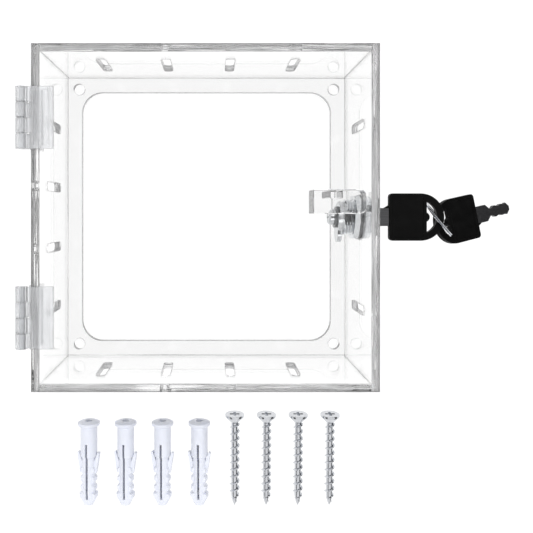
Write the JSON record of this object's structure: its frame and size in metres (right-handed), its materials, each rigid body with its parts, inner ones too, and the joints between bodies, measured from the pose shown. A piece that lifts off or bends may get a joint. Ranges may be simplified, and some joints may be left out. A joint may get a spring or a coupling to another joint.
{
  "type": "thermostat lock box",
  "caption": "Clear acrylic lock box for a wall thermostat, with a hinged door, vent slots, a cam lock on the side, keys on a ring, and its mounting screws and wall plugs",
  "frame": {"origin": "centre of the wall hole pattern, in the plane of the box's back", "axes": "+Z out of the wall through the door, +Y up the wall, +X toward the lock. The box lies on its back"},
  "size_m": [0.2233, 0.2099, 0.0585],
  "materials": {
    "clear_acrylic": "clear, polished",
    "clear_hinge": "clear grey, moulded",
    "steel_pin": "drawn wire",
    "chrome": "bright plating",
    "lock_brass": "as stamped",
    "key_steel": "dark nickel",
    "black_plastic": "fine moulded texture",
    "zinc_steel": "bright zinc plate",
    "white_nylon": "moulded"
  },
  "bodies": {
    "case": {"back_flange": "clear_acrylic", "left_wall": "clear_acrylic", "right_wall": "clear_acrylic", "top_wall": "clear_acrylic", "bottom_wall": "clear_acrylic", "upper_hinge_wall_leaf": "clear_hinge", "lower_hinge_wall_leaf": "clear_hinge", "upper_hinge_pin": "steel_pin", "lower_hinge_pin": "steel_pin", "lock_barrel": "chrome", "lock_head_washer": "chrome", "lock_nut_washer": "chrome", "lock_nut": "chrome", "mounting_screws": "zinc_steel", "wall_plugs": "white_nylon"},
    "door": {"door_panel": "clear_acrylic", "strike_block": "clear_acrylic", "upper_hinge_door_leaf": "clear_hinge", "lower_hinge_door_leaf": "clear_hinge"},
    "lock_core": {"lock_plug": "lock_brass", "lock_wafers": "lock_brass", "wafer_springs": "steel_pin", "cam_stop_washer": "chrome", "lock_cam": "chrome", "cam_lock_washer": "chrome", "cam_screw": "chrome"},
    "key": {"key_blade": "key_steel", "key_bow": "black_plastic"},
    "ring": {"key_ring": "zinc_steel"},
    "spare_key": {"spare_key_blade": "key_steel", "spare_key_bow": "black_plastic"}
  },
  "joints": [
    {"name": "door_hinge", "type": "hinge", "parent": "case", "child": "door", "pos_m": [-0.0736, 0, 0.056], "axis": [0, -1, 0], "range_deg": [0, 180]},
    {"name": "lock_turn", "type": "hinge", "parent": "case", "child": "lock_core", "pos_m": [0.0747, 0, 0.028], "axis": [-1, 0, 0], "range_deg": [0, 180]},
    {"name": "key_pull", "type": "slide", "parent": "lock_core", "child": "key", "axis": [1, 0, 0], "range_m": [0, 0.016]},
    {"name": "ring_slide", "type": "hinge", "parent": "key", "child": "ring", "pos_m": [0.10523, -0.00082, 0.02236], "axis": [-0.7324, -0.6018, -0.3185], "range_deg": [0, 25]},
    {"name": "spare_key_swing", "type": "hinge", "parent": "ring", "child": "spare_key", "pos_m": [0.1107, -0.004, 0.01582], "axis": [0, 0, 1], "range_deg": [-20, 3]}
  ]
}
